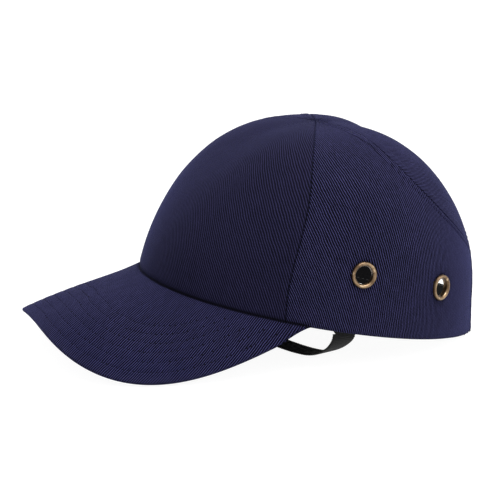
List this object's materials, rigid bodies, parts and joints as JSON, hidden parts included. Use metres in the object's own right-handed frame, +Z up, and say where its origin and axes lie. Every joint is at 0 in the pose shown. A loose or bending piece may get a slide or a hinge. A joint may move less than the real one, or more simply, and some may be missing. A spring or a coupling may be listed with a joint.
{
  "type": "bump cap",
  "caption": "Peaked cloth cap with a moulded impact shell and foam pads inside, side eyelets, a peel-open rear size adjuster and a slack chin strap.",
  "frame": {"origin": "under the middle of the whole cap's bounding box, on the table it stands on", "axes": "+X forward along the brim, +Y towards the wearer's left, +Z up"},
  "size_m": [0.2764, 0.1828, 0.1284],
  "materials": {
    "twill": "navy cotton twill, matt",
    "binding_tape": "dark woven tape",
    "sweatband": "black brushed cloth",
    "shell_plastic": "black moulded ABS, fine texture",
    "foam": "black EVA foam",
    "brim_board": "natural polyethylene board",
    "brass": "antique brass, worn edges",
    "webbing": "black ribbed webbing",
    "hook_and_loop": "black hook and loop",
    "slider_plastic": "black acetal"
  },
  "bodies": {
    "cap": {"arch_binding": "binding_tape", "brim_seam_tape": "binding_tape", "brim_stiffener": "brim_board", "brim_top_fabric": "twill", "brim_under_fabric": "twill", "centre_seam_tape": "binding_tape", "chin_anchor_left": "webbing", "chin_anchor_right": "webbing", "chin_stud_left": "slider_plastic", "chin_stud_right": "slider_plastic", "crown_pad": "foam", "crown_patch": "binding_tape", "front_pad": "foam", "front_panel": "twill", "impact_shell": "shell_plastic", "left_front_eyelet": "brass", "left_front_eyelet_washer": "brass", "left_front_seam_tape": "binding_tape", "left_rear_eyelet": "brass", "left_rear_eyelet_washer": "brass", "left_rear_panel": "twill", "left_rear_seam_tape": "binding_tape", "left_side_pad": "foam", "left_side_panel": "twill", "loop_patch": "hook_and_loop", "rear_pad": "foam", "rear_strap": "webbing", "rear_tab_anchor": "webbing", "right_front_eyelet": "brass", "right_front_eyelet_washer": "brass", "right_front_seam_tape": "binding_tape", "right_rear_eyelet": "brass", "right_rear_eyelet_washer": "brass", "right_rear_panel": "twill", "right_rear_seam_tape": "binding_tape", "right_side_pad": "foam", "right_side_panel": "twill", "sweatband": "sweatband"},
    "rear_tab": {"rear_tab": "webbing", "hook_patch": "hook_and_loop"},
    "chin_strap": {"chin_strap": "webbing"},
    "chin_slider": {"chin_slider": "slider_plastic"}
  },
  "joints": [
    {"name": "rear_tab_peel", "type": "hinge", "parent": "cap", "child": "rear_tab", "pos_m": [-0.12627, -0.04118, 0.007], "axis": [0, 0, 1], "range_deg": [0, 105]},
    {"name": "chin_strap_swing", "type": "hinge", "parent": "cap", "child": "chin_strap", "pos_m": [-0.02235, 0, 0.026], "axis": [0, -1, 0], "range_deg": [0, 150]},
    {"name": "chin_slider_slide", "type": "slide", "parent": "chin_strap", "child": "chin_slider", "axis": [0, 1, 0], "range_m": [-0.012, 0.012]}
  ]
}
